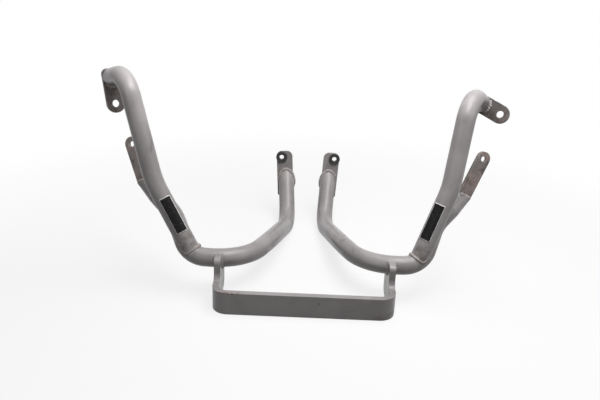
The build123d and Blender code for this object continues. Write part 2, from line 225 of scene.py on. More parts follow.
class LabelSettings(bpy.types.PropertyGroup):
    """Blank label on each upright"""

    length: FloatProperty(
        name="Length", description="Length along the tube", subtype="DISTANCE", unit="LENGTH",
        default=55 * MILLIMETRE, min=20 * MILLIMETRE, max=80 * MILLIMETRE,
    )
    arc: FloatProperty(
        name="Arc", description="Part of the tube that it goes round", subtype="ANGLE",
        default=math.radians(74), min=math.radians(20), max=math.radians(160),
    )
    left_turn: FloatProperty(
        name="Left Turn", description="Left label's turn from the front to the inside", subtype="ANGLE",
        default=math.radians(31), min=-math.pi, max=math.pi,
    )
    right_turn: FloatProperty(
        name="Right Turn", description="Right label's turn from the front to the inside", subtype="ANGLE",
        default=math.radians(40), min=-math.pi, max=math.pi,
    )
    distance: FloatProperty(
        name="Distance", description="From the joint to its middle", subtype="DISTANCE", unit="LENGTH",
        default=60 * MILLIMETRE, min=40 * MILLIMETRE, max=90 * MILLIMETRE,
    )
    lift: FloatProperty(
        name="Thickness", description="How far its face stands off the tube", subtype="DISTANCE",
        unit="LENGTH", default=0.6 * MILLIMETRE, min=0.1 * MILLIMETRE, max=MILLIMETRE,
    )
    border: FloatProperty(
        name="Border", description="Width of the pale border", subtype="DISTANCE", unit="LENGTH",
        default=0.95 * MILLIMETRE, min=0, max=4 * MILLIMETRE,
    )
    film: FloatVectorProperty(
        name="Film", description="Black film", subtype="COLOR", size=4, min=0, max=1,
        default=(0.012, 0.011, 0.012, 1),
    )
    edge: FloatVectorProperty(
        name="Border Colour", description="Pale border", subtype="COLOR", size=4, min=0, max=1,
        default=(0.93, 0.92, 0.91, 1),
    )


class BushSettings(bpy.types.PropertyGroup):
    """Rubber bush in each rear tab"""

    radius: FloatProperty(
        name="Flange Radius", description="Radius of both flanges", subtype="DISTANCE", unit="LENGTH",
        default=9.75 * MILLIMETRE, min=7 * MILLIMETRE, max=14 * MILLIMETRE,
    )
    flange: FloatProperty(
        name="Flange", description="Thickness of a flange", subtype="DISTANCE", unit="LENGTH",
        default=3 * MILLIMETRE, min=MILLIMETRE, max=6 * MILLIMETRE,
    )
    neck: FloatProperty(
        name="Neck Radius", description="Radius inside the tab's hole", subtype="DISTANCE", unit="LENGTH",
        default=6.5 * MILLIMETRE, min=5 * MILLIMETRE, max=10 * MILLIMETRE,
    )
    bore: FloatProperty(
        name="Bore Radius", description="Radius of the bolt hole", subtype="DISTANCE", unit="LENGTH",
        default=4 * MILLIMETRE, min=2 * MILLIMETRE, max=6 * MILLIMETRE,
    )
    plate: FloatProperty(
        name="Plate", description="Thickness of the rear tab between the flanges", subtype="DISTANCE",
        unit="LENGTH", default=5 * MILLIMETRE, min=2 * MILLIMETRE, max=8 * MILLIMETRE,
    )
    rubber: FloatVectorProperty(
        name="Rubber", description="Black rubber", subtype="COLOR", size=4, min=0, max=1,
        default=(0.014, 0.013, 0.013, 1),
    )
    dust: FloatVectorProperty(
        name="Dust", description="Grey bloom on the rubber", subtype="COLOR", size=4, min=0, max=1,
        default=(0.045, 0.042, 0.04, 1),
    )


class StudioSettings(bpy.types.PropertyGroup):
    """Floor, light and camera"""

    floor_size: FloatProperty(
        name="Floor Size", description="Side of the floor", subtype="DISTANCE", unit="LENGTH",
        default=60.0, min=4.0, max=100.0,
    )
    floor: FloatVectorProperty(
        name="Floor", description="Floor as it throws light back", subtype="COLOR", size=4, min=0, max=1,
        default=(0.13, 0.13, 0.13, 1),
    )
    shadow: FloatProperty(
        name="Shadow", description="Share of the floor's look that its own shading gives near the bars",
        default=0.2, min=0, max=1,
    )
    shadow_reach: FloatProperty(
        name="Shadow Reach", description="Distance at which the floor is plain white", subtype="DISTANCE",
        unit="LENGTH", default=0.9, min=0.3, max=5.0,
    )
    room: FloatProperty(
        name="Room Light", description="Strength of the even light", default=0.04, min=0, max=1
    )
    overhead: FloatProperty(
        name="Overhead", description="Power of the softbox above the bars", unit="POWER",
        default=6.0, min=0,
    )
    rear: FloatProperty(
        name="Rear Softbox", description="Power of the softbox above the legs", unit="POWER",
        default=1.15, min=0,
    )
    side: FloatProperty(
        name="Side Softbox", description="Power of the weak softbox on the right", unit="POWER",
        default=0.85, min=0,
    )
    front: FloatProperty(
        name="Front Softbox", description="Power of the softbox before the bars", unit="POWER",
        default=0.9, min=0,
    )
    left_strip: FloatProperty(
        name="Left Strip", description="Power of the strip before the left top bend", unit="POWER",
        default=0.065, min=0,
    )
    right_strip: FloatProperty(
        name="Right Strip", description="Power of the strip before the right top bend", unit="POWER",
        default=0.04, min=0,
    )
    camera: FloatVectorProperty(
        name="Camera Place", description="Where the camera stands", subtype="TRANSLATION", unit="LENGTH",
        size=3, default=(-0.00993, -0.84004, 0.52982),
    )
    pitch: FloatProperty(
        name="Camera Pitch", description="Downward tilt", subtype="ANGLE", default=math.radians(23.0)
    )
    yaw: FloatProperty(
        name="Camera Yaw", description="Turn to the right", subtype="ANGLE", default=math.radians(-0.06)
    )
    roll: FloatProperty(
        name="Camera Roll", description="Clockwise turn of the picture", subtype="ANGLE",
        default=math.radians(2.37),
    )
    lens: FloatProperty(
        name="Lens", description="Focal length for a picture 36 mm wide", default=42.66, min=10, max=200
    )


# Materials


class Finish:
    """A material and short ways to wire its pattern."""

    def __init__(self, name):
        self.material = bpy.data.materials.new(name)
        self.material.use_nodes = True
        self.tree = self.material.node_tree
        self.surface = self.tree.nodes["Principled BSDF"]
        self.place = self.tree.nodes.new("ShaderNodeTexCoord").outputs["Object"]

    def node(self, kind, **settings):
        """Add a node with these settings."""
        made = self.tree.nodes.new(kind)
        for key, value in settings.items():
            setattr(made, key, value)
        return made

    def feed(self, socket, value):
        """Wire a socket from another one, or set it to a plain value."""
        if isinstance(value, bpy.types.NodeSocket):
            self.tree.links.new(value, socket)
        else:
            socket.default_value = value

    def stretched(self, scale):
        """Object place, drawn out along one axis."""
        mapping = self.node("ShaderNodeMapping")
        self.feed(mapping.inputs["Vector"], self.place)
        mapping.inputs["Scale"].default_value = scale
        return mapping.outputs["Vector"]

    def noise(self, scale, detail=2.0, rough=0.5, at=None):
        """Cloudy pattern with about this many clouds to the metre."""
        made = self.node("ShaderNodeTexNoise")
        self.feed(made.inputs["Vector"], at or self.place)
        made.inputs["Scale"].default_value = scale
        made.inputs["Detail"].default_value = detail
        made.inputs["Roughness"].default_value = rough
        return made.outputs["Fac"]

    def step(self, value, low, high, first=0.0, second=1.0):
        """Smooth change from the first value to the second as the input goes from low to high."""
        made = self.node("ShaderNodeMapRange", interpolation_type="SMOOTHSTEP")
        self.feed(made.inputs["Value"], value)
        for key, setting in (("From Min", low), ("From Max", high), ("To Min", first), ("To Max", second)):
            made.inputs[key].default_value = setting
        return made.outputs["Result"]

    def maths(self, operation, first, second):
        """One sum on two values."""
        made = self.node("ShaderNodeMath", operation=operation)
        self.feed(made.inputs[0], first)
        self.feed(made.inputs[1], second)
        return made.outputs["Value"]

    def blend(self, share, first, second):
        """Colour between two others."""
        # The mix node has sockets for every kind of value, and its colours share their names with others
        made = self.node("ShaderNodeMix", data_type="RGBA")
        self.feed(made.inputs[0], share)
        self.feed(made.inputs[6], first)
        self.feed(made.inputs[7], second)
        return made.outputs[2]

    def axis(self, letter):
        """One coordinate of the place on the object."""
        made = self.node("ShaderNodeSeparateXYZ")
        self.feed(made.inputs["Vector"], self.place)
        return made.outputs[letter]

    def mark(self, name):
        """A value that the mesh carries."""
        made = self.node("ShaderNodeAttribute", attribute_name=name)
        return made.outputs["Fac"]

    def away(self, place, at=None, squeeze=(1, 1, 1)):
        """Distance from a place, measured shorter along a squeezed axis."""
        offset = self.node("ShaderNodeVectorMath", operation="SUBTRACT")
        self.feed(offset.inputs[0], at or self.place)
        offset.inputs[1].default_value = place
        squeezed = self.node("ShaderNodeVectorMath", operation="MULTIPLY")
        self.feed(squeezed.inputs[0], offset.outputs["Vector"])
        squeezed.inputs[1].default_value = squeeze
        length = self.node("ShaderNodeVectorMath", operation="LENGTH")
        self.feed(length.inputs[0], squeezed.outputs["Vector"])
        return length.outputs["Value"]

    def bump(self, height, distance, strength=1.0, under=None):
        """Relief of a height pattern, over another relief where one is given."""
        made = self.node("ShaderNodeBump")
        made.inputs["Strength"].default_value = strength
        made.inputs["Distance"].default_value = distance
        self.feed(made.inputs["Height"], height)
        if under:
            self.feed(made.inputs["Normal"], under)
        return made.outputs["Normal"]

    def close(self, colour, roughness, normal, **plain):
        """Wire the pattern into the surface and set what is the same all over."""
        self.feed(self.surface.inputs["Base Color"], colour)
        self.feed(self.surface.inputs["Roughness"], roughness)
        self.feed(self.surface.inputs["Normal"], normal)
        for key, value in plain.items():
            self.surface.inputs[key.replace("_", " ")].default_value = value
        return self.material


def paint_pattern(finish, paint, grain=TUBE_GRAIN):
    """Colour, roughness and relief of satin silver paint with rubbed patches and specks."""
    cloud = finish.step(finish.noise(15, 3, 0.55), 0.36, 0.64)
    colour = finish.blend(cloud, paint.light, paint.dark)
    streak = finish.noise(70, 4, 0.65, at=finish.stretched(grain))
    patch = finish.step(finish.noise(13, 2), 0.48, 0.64)
    rubbed = finish.maths("MULTIPLY", finish.step(streak, 0.5, 0.7, 0, 0.75), patch)
    colour = finish.blend(rubbed, colour, paint.scuff_and_shade)
    specks = finish.maths(
        "MULTIPLY", finish.step(finish.noise(430, 2), 0.69, 0.75), finish.step(finish.noise(26, 2), 0.5, 0.62)
    )
    colour = finish.blend(specks, colour, paint.scuff_and_shade)
    roughness = finish.step(finish.maths("ADD", streak, rubbed), 0.35, 0.95, 0.29, 0.44)
    peel = finish.bump(finish.noise(420, 2), 0.0001, 0.05)
    relief = finish.bump(finish.noise(40, 2), 0.0006, 0.07, under=peel)
    return colour, roughness, relief


def tube_paint(paint):
    """Silver paint, darker brown in patches beside the welded feet of the uprights."""
    finish = Finish("silver tube paint")
    colour, roughness, relief = paint_pattern(finish, paint)
    side = finish.node("ShaderNodeVectorMath", operation="ABSOLUTE")
    finish.feed(side.inputs[0], finish.place)
    # The paint turns darker brown in patches round each upright's foot
    near = finish.step(finish.away(DARK_BROWN_PLACE, at=side.outputs["Vector"]), *DARK_BROWN_REACH, 1, 0)
    dark_brown = finish.maths("MULTIPLY", near, finish.step(finish.noise(95, 3, 0.6), 0.42, 0.66, 0, 0.75))
    colour = finish.blend(dark_brown, colour, paint.dark_brown)
    return finish.close(colour, roughness, relief)


def worn_edges(finish, paint, colour):
    """Paint rubbed through along the marked edges."""
    wear = finish.step(finish.noise(160, 3, 0.6), 0.42, 0.6, 0.15, 0.9)
    worn = finish.maths("MULTIPLY", finish.mark("edge"), wear)
    return finish.blend(worn, colour, paint.bare)


def plate_paint(paint):
    """Silver paint scuffed all over, with worn edges."""
    finish = Finish("silver plate paint")
    colour, roughness, relief = paint_pattern(finish, paint)
    colour = finish.blend(finish.step(finish.noise(34, 3), 0.3, 0.7, 0.2, 0.6), colour, paint.scuff_and_shade)
    colour = worn_edges(finish, paint, colour)
    return finish.close(colour, roughness, relief)


def bracket_paint(paint):
    """Silver paint with rusty chips along the top edge at the left end of the bar, and one small nick."""
    finish = Finish("silver bracket paint")
    colour, roughness, relief = paint_pattern(finish, paint, grain=BAR_GRAIN)
    colour = worn_edges(finish, paint, colour)
    along = finish.axis("X")
    outer = finish.step(along, *CHIPS_OUTER_END)
    ends = finish.maths("MULTIPLY", outer, finish.step(along, *CHIPS_INNER_END))
    height = finish.step(finish.axis("Z"), *CHIPS_HEIGHT)
    front = finish.step(finish.axis("Y"), *CHIPS_DEPTH)
    zone = finish.maths("MULTIPLY", finish.maths("MULTIPLY", ends, height), front)
    chips = finish.maths("MULTIPLY", zone, finish.step(finish.noise(240, 3, 0.6), 0.44, 0.52))
    colour = finish.blend(chips, colour, paint.rust)
    nick = finish.step(finish.away(NICK_PLACE, squeeze=NICK_SQUEEZE), *NICK_REACH, 0.85, 0)
    colour = finish.blend(nick, colour, paint.dark_brown)
    pits = finish.bump(finish.maths("SUBTRACT", 1.0, chips), 0.0006, 0.6, under=relief)
    return finish.close(colour, roughness, pits)


def weld_paint(paint):
    """Silver paint over a weld, with pale warm patches that are partly the weld's own colour and partly a
    painted highlight, and painted shade in the ripples' valleys.
    """
    finish = Finish("painted weld")
    colour, roughness, relief = paint_pattern(finish, paint)
    # Painted highlight: pale warm patches, partly the weld's own colour, fullest on a joint's inner side
    warm = finish.maths("MULTIPLY", finish.mark("tint"), finish.step(finish.noise(150, 2), 0.42, 0.58))
    colour = finish.blend(warm, colour, paint.weld_tint_and_highlight)
    # Painted shade: the paint darkens towards the valleys between the ripples
    valley = finish.maths("MULTIPLY", finish.mark("valley"), 0.45)
    colour = finish.blend(valley, colour, paint.scuff_and_shade)
    return finish.close(colour, finish.maths("ADD", roughness, 0.2), relief)


def dark_steel(name, steel, shade):
    """Oxidised steel with brown patches, drawn-out scratches and rubbed edges, more or less blackened."""
    finish = Finish(name)
    cloud = finish.step(finish.noise(42, 4, 0.6), 0.4, 0.62)
    colour = finish.blend(cloud, steel.dark, steel.warm)
    stain = finish.step(finish.noise(75, 3, 0.65), 0.5, 0.66, 0, 0.6)
    colour = finish.blend(stain, colour, steel.black)
    scratch = finish.noise(150, 4, 0.7, at=finish.stretched(SCRATCH_GRAIN))
    marks = finish.step(scratch, 0.56, 0.74, 0, 0.55)
    colour = finish.blend(marks, colour, steel.rubbed)
    wear = finish.step(finish.noise(130, 3), 0.4, 0.6, 0.2, 0.85)
    worn = finish.maths("MULTIPLY", finish.mark("edge"), wear)
    colour = finish.blend(worn, colour, steel.rubbed)
    colour = finish.blend(shade, colour, steel.black)
    roughness = finish.step(scratch, 0.3, 0.75, 0.58, 0.38)
    grain = finish.bump(scratch, 0.00015, 0.5)
    pits = finish.bump(finish.noise(380, 3), 0.0002, 0.5, under=grain)
    return finish.close(colour, roughness, pits, Metallic=0.55)


def bush_rubber(bush):
    """Black rubber with a grey bloom."""
    finish = Finish("black rubber")
    bloom = finish.step(finish.noise(170, 3, 0.6), 0.5, 0.7, 0, 0.7)
    colour = finish.blend(bloom, bush.rubber, bush.dust)
    roughness = finish.step(finish.noise(120, 3), 0.35, 0.7, 0.22, 0.42)
    skin = finish.bump(finish.noise(900, 2), 0.0001, 0.4)
    return finish.close(colour, roughness, skin)


def label_film(label):
    """Black film with a thin pale border and faint wear."""
    finish = Finish("blank label film")
    border = finish.mark("border")
    wear = finish.step(finish.noise(320, 2), 0.62, 0.7, 0, 0.04)
    colour = finish.blend(wear, label.film, label.edge)
    colour = finish.blend(border, colour, label.edge)
    roughness = finish.step(finish.noise(90, 3), 0.35, 0.7, 0.3, 0.46)
    skin = finish.bump(finish.noise(500, 2), 0.0001, 0.3)
    return finish.close(colour, roughness, skin, Specular_IOR_Level=0.12)


# Mesh helpers


def new_piece(name, shape, material, slot, *nodes):
    """Turn a bmesh into a piece that stands for the named CAD pieces."""
    mesh = bpy.data.meshes.new(name)
    shape.to_mesh(mesh)
    shape.free()
    mesh.shade_smooth()
    piece = bpy.data.objects.new(name, mesh)
    bpy.context.scene.collection.objects.link(piece)
    mesh.materials.append(material)
    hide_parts(*nodes)
    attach(piece, "root")
    return piece


def coat(node, material):
    """Give a CAD piece its material."""
    mesh = frame["nodes"][node].data
    mesh.materials.clear()
    mesh.materials.append(material)


def rounded_copy(node, radius, steps):
    """A CAD piece's shape with its sharp edges rounded, and the rounded strips marked as edge."""
    same_place = 0.001 * MILLIMETRE
    same_plane = math.radians(0.5)
    sharp_corner = math.radians(35)
    shape = bmesh.new()
    shape.from_mesh(frame["nodes"][node].data)
    edge = shape.faces.layers.float.new("edge")
    bmesh.ops.remove_doubles(shape, verts=shape.verts, dist=same_place)
    bmesh.ops.dissolve_limit(
        shape, angle_limit=same_plane, verts=shape.verts[:], edges=shape.edges[:],
        use_dissolve_boundaries=False,
    )
    sharp = [each for each in shape.edges if each.calc_face_angle(0) > sharp_corner]
    made = bmesh.ops.bevel(
        shape, geom=sharp, offset=radius, offset_type="OFFSET", segments=steps, profile=0.5,
        affect="EDGES", clamp_overlap=True,
    )
    for face in made["faces"]:
        face[edge] = 1.0
    return shape


def flat_faces(piece, weight=80):
    """Keep wide faces flat while their rounded edges shade smoothly."""
    flat = piece.modifiers.new("flat faces", "WEIGHTED_NORMAL")
    flat.keep_sharp = True
    flat.weight = weight


def across(direction, axis):
    """Unit part of a direction that is square to an axis."""
    return (direction - axis * direction.dot(axis)).normalized()


def spaced(points, closed, gap, fewest=4):
    """Points at an even distance along a line."""
    no_length = 1e-9
    ring = points + points[:1] if closed else points
    lengths = [0.0]
    for first, second in zip(ring, ring[1:]):
        lengths.append(lengths[-1] + (second - first).length)
    count = max(fewest, round(lengths[-1] / gap))
    made = []
    place = 0
    for step in range(count if closed else count + 1):
        target = lengths[-1] * step / count
        while place < len(lengths) - 2 and lengths[place + 1] < target:
            place += 1
        share = (target - lengths[place]) / max(lengths[place + 1] - lengths[place], no_length)
        made.append(ring[place].lerp(ring[place + 1], min(1.0, share)))
    return made


def add_bead(shape, points, radius, weld, closed, seed, fullness, sides=14):
    """Add one bead: overlapping rounded ripples of uneven size, fuller where the fullness nears one."""
    # Each ring carries how deep it lies between ripples, for the painted shade, and how full the bead is, for
    # the pale warm colour and painted highlight
    valley = shape.verts.layers.float["valley"]
    tint = shape.verts.layers.float["tint"]
    chance = random.Random(seed)
    gap = weld.ripple / RINGS_PER_RIPPLE
    line = spaced(points, closed, gap)
    count = len(line)
    ripples = max(1, round(count / RINGS_PER_RIPPLE))
    sizes = [chance.uniform(*RIPPLE_SIZES) for _ in range(ripples + 1)]
    rings = []
    lean = None
    for place, point in enumerate(line):
        before = line[place - 1] if closed or place else point
        after = line[(place + 1) % count] if closed or place < count - 1 else point
        way = (after - before).normalized()
        if lean is None:
            lean = way.orthogonal().normalized()
        lean = across(lean, way)
        other = way.cross(lean)
        share = place * ripples / count
        phase = share % 1.0
        hump = 1 - abs(2 * phase - 1) ** RIPPLE_CURVE
        full = fullness(point)
        size = radius * sizes[int(share) % ripples] * (1 - weld.depth * (1 - hump))
        size *= THIN_BEAD + (FULL_BEAD - THIN_BEAD) * full
        if not closed:
            end = min(place, count - 1 - place) * gap
            rise = math.sqrt(end / (BEAD_TIP_LENGTH * radius))
            size *= min(1.0, BEAD_TIP + (1 - BEAD_TIP) * rise)
        ring = []
        for spoke in range(sides):
            angle = 2 * math.pi * spoke / sides
            vertex = shape.verts.new(point + (lean * math.cos(angle) + other * math.sin(angle)) * size)
            vertex[valley] = 1 - hump
            vertex[tint] = full
            ring.append(vertex)
        rings.append(ring)
    pairs = list(zip(rings, rings[1:] + rings[:1])) if closed else list(zip(rings, rings[1:]))
    for first, second in pairs:
        turn = 0
        if closed and second is rings[0]:
            turn = min(range(sides), key=lambda shift: (second[shift].co - first[0].co).length)
        for spoke in range(sides):
            following = (spoke + 1) % sides
            far = (second[(following + turn) % sides], second[(spoke + turn) % sides])
            shape.faces.new((first[spoke], first[following], *far))
    if not closed:
        shape.faces.new(rings[0][::-1])
        shape.faces.new(rings[-1])


def new_bead_shape():
    """Empty shape that carries what a weld's paint reads."""
    shape = bmesh.new()
    # Masks for the weld paint: painted shade between ripples, and the pale warm colour with its painted
    # highlight
    shape.verts.layers.float.new("valley")
    shape.verts.layers.float.new("tint")
    return shape


def mirrored(place, sign):
    """A place or direction given for the right side, put on the side of that sign."""
    return Vector((sign * place[0], place[1], place[2]))


def bolt(name):
    """Middle and direction of a bolt hole in the frame's record."""
    found = next(each for each in frame["record"]["mounts"] if each["name"] == name)
    return Vector(found["pos_m"]), Vector(found["axis"])


# Pieces


class CRASHBARS_OT_tubes(bpy.types.Operator):
    """Paint the lower and upper tubes"""

    bl_idname = "crashbars.tubes"
    bl_label = "Tubes"

    def execute(self, context):
        paint = tube_paint(context.scene.bars_paint)
        for side in SIDES:
            coat(f"{side}_lower_tube", paint)
            coat(f"{side}_upper_tube", paint)
        return {"FINISHED"}


class CRASHBARS_OT_bracket(bpy.types.Operator):
    """Make the bent front bracket with rounded, worn edges"""

    bl_idname = "crashbars.bracket"
    bl_label = "Front Bracket"

    def execute(self, context):
        edges = context.scene.bars_edges
        shape = rounded_copy("front_bracket", edges.bracket, edges.steps)
        piece = new_piece(
            "bracket", shape, bracket_paint(context.scene.bars_paint), "silver_paint", "front_bracket"
        )
        flat_faces(piece)
        return {"FINISHED"}


class CRASHBARS_OT_plates(bpy.types.Operator):
    """Make the top tabs, the side straps and the rear tabs with rounded edges"""

    bl_idname = "crashbars.plates"
    bl_label = "Tabs and Straps"

    def execute(self, context):
        edges = context.scene.bars_edges
        steel = dark_steel("oxidised steel", context.scene.bars_steel, STRAP_SCALE)
        scale = dark_steel("blackened steel", context.scene.bars_steel, TAB_SCALE)
        paint = plate_paint(context.scene.bars_paint)
        for side in SIDES:
            for plate, material, slot in (
                ("top_tab", scale, "bare_steel"),
                ("side_strap", steel, "bare_steel"),
                ("rear_tab", paint, "silver_paint"),
            ):
                node = f"{side}_{plate}"
                shape = rounded_copy(node, edges.plate, edges.steps)
                flat_faces(new_piece(f"{node}_plate", shape, material, slot, node))
        return {"FINISHED"}


class CRASHBARS_OT_bushes(bpy.types.Operator):
    """Turn the rubber bushes with soft rims and a shallow dish in each face"""

    bl_idname = "crashbars.bushes"
    bl_label = "Rubber Bushes"

    def execute(self, context):
        bush = context.scene.bars_bush
        rubber = bush_rubber(bush)
        for side in SIDES:
            middle, facing = bolt(f"{side}_rear_bolt")
            shape = self.turned(bush, middle, facing)
            new_piece(f"{side}_bush", shape, rubber, "rubber_bush", f"{side}_rear_bush")
        return {"FINISHED"}

    def turned(self, bush, middle, facing, spokes=64):
        """Revolve the bush's outline about the bolt's line."""
        half = bush.plate / 2 + bush.flange
        rim = 0.3 * bush.flange
        dish = 0.12 * bush.flange
        face = [
            (bush.bore, half - rim),
            (bush.bore + 0.3 * rim, half - 0.3 * rim),
            (bush.bore + rim, half),
            (bush.bore + 1.6 * rim, half),
            (bush.bore + 2.2 * rim, half - dish),
            (bush.radius - 2.4 * rim, half - dish),
            (bush.radius - 1.8 * rim, half),
            (bush.radius - rim, half),
            (bush.radius - 0.45 * rim, half - 0.12 * rim),
            (bush.radius - 0.12 * rim, half - 0.45 * rim),
            (bush.radius, half - rim),
            (bush.radius, bush.plate / 2),
            (bush.neck, bush.plate / 2),
        ]
        outline = face + [(radius, -height) for radius, height in reversed(face)]
        aside = facing.orthogonal().normalized()
        other = facing.cross(aside)
        shape = bmesh.new()
        rings = []
        for spoke in range(spokes):
            angle = 2 * math.pi * spoke / spokes
            out = aside * math.cos(angle) + other * math.sin(angle)
            points = [middle + out * radius + facing * height for radius, height in outline]
            rings.append([shape.verts.new(point) for point in points])
        for first, second in zip(rings, rings[1:] + rings[:1]):
            for place in range(len(outline)):
                following = (place + 1) % len(outline)
                shape.faces.new((first[place], first[following], second[following], second[place]))
        bmesh.ops.recalc_face_normals(shape, faces=shape.faces[:])
        return shape


class CRASHBARS_OT_labels(bpy.types.Operator):
    """Wrap a blank bordered label on each upright"""

    bl_idname = "crashbars.labels"
    bl_label = "Blank Labels"

    def execute(self, context):
        label = context.scene.bars_label
        film = label_film(label)
        for side in SIDES:
            shape = self.wrapped(label, side)
            piece = new_piece(f"{side}_sticker", shape, film, "blank_label", f"{side}_label")
            thick = piece.modifiers.new("film", "SOLIDIFY")
            thick.thickness = label.lift
            thick.offset = -1
        return {"FINISHED"}

    def bordered_shares(self, border, count):
        """Shares of a side from nought to one: a border's width at each end and even steps between."""
        inside = [border + (1 - 2 * border) * place / count for place in range(count + 1)]
        return [0.0] + inside + [1.0]

    def wrapped(self, label, side, rows=56, columns=24):
        """Grid on the tube, with narrow outer rows and columns for the border."""
        upright = Vector(UPRIGHT[side])
        front = across(Vector((0, -1, 0)), upright)
        inward = across(across(Vector((-SIDES[side], 0, 0)), upright), front)
        turn = {"left": label.left_turn, "right": label.right_turn}[side]
        facing = front * math.cos(turn) + inward * math.sin(turn)
        aside = upright.cross(facing)
        middle = Vector(JOINT[side]) + upright * label.distance
        radius = TUBE_RADIUS + label.lift
        band = label.border / (radius * label.arc)
        strip = label.border / label.length
        shape = bmesh.new()
        border = shape.faces.layers.float.new("border")
        across_shares = self.bordered_shares(band, columns)
        along_shares = self.bordered_shares(strip, rows)
        grid = []
        for along in along_shares:
            row = []
            for share in across_shares:
                angle = (share - 0.5) * label.arc
                out = facing * math.cos(angle) + aside * math.sin(angle)
                row.append(shape.verts.new(middle + upright * (along - 0.5) * label.length + out * radius))
            grid.append(row)
        for row in range(len(grid) - 1):
            for column in range(len(grid[0]) - 1):
                near = (grid[row][column], grid[row][column + 1])
                far = (grid[row + 1][column + 1], grid[row + 1][column])
                face = shape.faces.new(near + far)
                if row in (0, len(grid) - 2) or column in (0, len(grid[0]) - 2):
                    face[border] = 1.0
        return shape


class CRASHBARS_OT_welds(bpy.types.Operator):
    """Lay rippled beads along every seam"""

    bl_idname = "crashbars.welds"
    bl_label = "Weld Beads"

    def execute(self, context):
        weld = context.scene.bars_weld
        paint = weld_paint(context.scene.bars_paint)
        for side, sign in SIDES.items():
            for seam, size, lines, closed in (
                ("joint", weld.joint, [self.joint_line(side)], True),
                ("rear_tab", weld.seam, [self.rear_tab_line(side)], True),
                ("top_tab", weld.seam, [self.top_tab_line(side, weld)], False),
                ("strap", weld.seam, self.strap_lines(side, weld), False),
                ("bracket", weld.seam, self.bracket_lines(sign), False),
            ):
                shape = new_bead_shape()
                for number, line in enumerate(lines):
                    seed = f"{side} {seam} {number}"
                    add_bead(shape, line, size, weld, closed, seed, self.fullness(side, seam))
                bmesh.ops.recalc_face_normals(shape, faces=shape.faces[:])
                new_piece(f"{side}_{seam}_bead", shape, paint, "painted_weld", f"{side}_{seam}_weld")
        return {"FINISHED"}

    def fullness(self, side, seam):
        """How full a bead is at a point: even, or at a joint most on its inner side and none on the outer."""
        def inner_share(point):
            inward = -SIDES[side] * (point.x - JOINT[side][0]) / TUBE_RADIUS
            return min(1.0, max(0.0, 0.5 + 0.5 * inward)) ** JOINT_FADE

        return inner_share if seam == "joint" else lambda point: FULLNESS[seam]

    def skin(self, node):
        """Faces of a CAD piece, to be met by a ray or a nearest point."""
        mesh = frame["nodes"][node].data
        return BVHTree.FromPolygons(
            [each.co.copy() for each in mesh.vertices], [tuple(each.vertices) for each in mesh.polygons]
        )

    def joint_line(self, side, count=120):
        """Where the upright's wall comes down on the lower tube."""
        lower = self.skin(f"{side}_lower_tube")
        upright = Vector(UPRIGHT[side])
        aside = upright.orthogonal().normalized()
        other = upright.cross(aside)
        start = Vector(JOINT[side]) + upright * 3 * TUBE_RADIUS
        inside_wall = 0.985 * TUBE_RADIUS
        line = []
        for spoke in range(count):
            angle = 2 * math.pi * spoke / count
            out = (aside * math.cos(angle) + other * math.sin(angle)) * inside_wall
            hit = lower.ray_cast(start + out, -upright)[0]
            if hit is None:
                raise RuntimeError(f"The {side} upright misses the lower tube")
            line.append(hit)
        return line

    def slanting_ring(self, middle, way, facing, count=120):
        """Where a round tube meets a flat face at a slant."""
        aside = way.orthogonal().normalized()
        other = way.cross(aside)
        ring = []
        for spoke in range(count):
            angle = 2 * math.pi * spoke / count
            out = (aside * math.cos(angle) + other * math.sin(angle)) * TUBE_RADIUS
            ring.append(middle + out - way * (out.dot(facing) / way.dot(facing)))
        return ring

    def rear_tab_line(self, side):
        """Slanting end of the leg on the rear tab's face."""
        seat = mirrored(LEG_SEAT, SIDES[side])
        way = mirrored(LEG_WAY, SIDES[side])
        return self.slanting_ring(seat, way, bolt(f"{side}_rear_bolt")[1])

    def top_tab_line(self, side, weld, count=40):
        """Arc in the corner between the tube's end and the top tab."""
        hole, axis = bolt(f"{side}_top_bolt")
        end = Vector(TOP_END[side])
        way = across(hole - end, axis)
        other = axis.cross(way)
        line = []
        for place in range(count + 1):
            angle = (place / count - 0.5) * weld.top_tab_arc
            line.append(end + (way * math.cos(angle) + other * math.sin(angle)) * TUBE_RADIUS)
        return line

    def strap_lines(self, side, weld, count=12):
        """Both corners of a strap's foot."""
        hole, normal = bolt(f"{side}_strap_bolt")
        foot = Vector(STRAP_FOOT[side])
        aside = normal.cross((hole - foot).normalized())
        lines = []
        for face in (-1, 1):
            corner = foot + normal * face * STRAP_THICKNESS / 2
            along = aside * weld.strap_length
            lines.append([corner + along * (place / count - 0.5) for place in range(count + 1)])
        return lines

    def bracket_lines(self, sign):
        """Edges of the tube's seat on both faces of an arm, from one end of the seat to the other."""
        bracket = self.skin("front_bracket")
        touching = 0.5 * MILLIMETRE
        lines = []
        for centre, way in ARM_SEATS:
            ring = self.slanting_ring(mirrored(centre, sign), mirrored(way, sign), Vector((1, 0, 0)))
            seated = [bracket.find_nearest(point)[3] < touching for point in ring]
            first = next(place for place in range(len(ring)) if seated[place] and not seated[place - 1])
            turned = ring[first:] + ring[:first]
            lines.append(turned[: sum(seated)])
        return lines


# Studio


def seen_white(tree, plain):
    """Shader that shows plain white to the eye and to reflections, and the plain one to other light."""
    path = tree.nodes.new("ShaderNodeLightPath")
    seen = path.outputs["Is Camera Ray"]
    for name in ("Is Glossy Ray", "Is Transmission Ray"):
        either = tree.nodes.new("ShaderNodeMath")
        either.operation = "MAXIMUM"
        tree.links.new(seen, either.inputs[0])
        tree.links.new(path.outputs[name], either.inputs[1])
        seen = either.outputs["Value"]
    choice = tree.nodes.new("ShaderNodeMixShader")
    tree.links.new(seen, choice.inputs["Fac"])
    tree.links.new(plain, choice.inputs[1])
    return choice


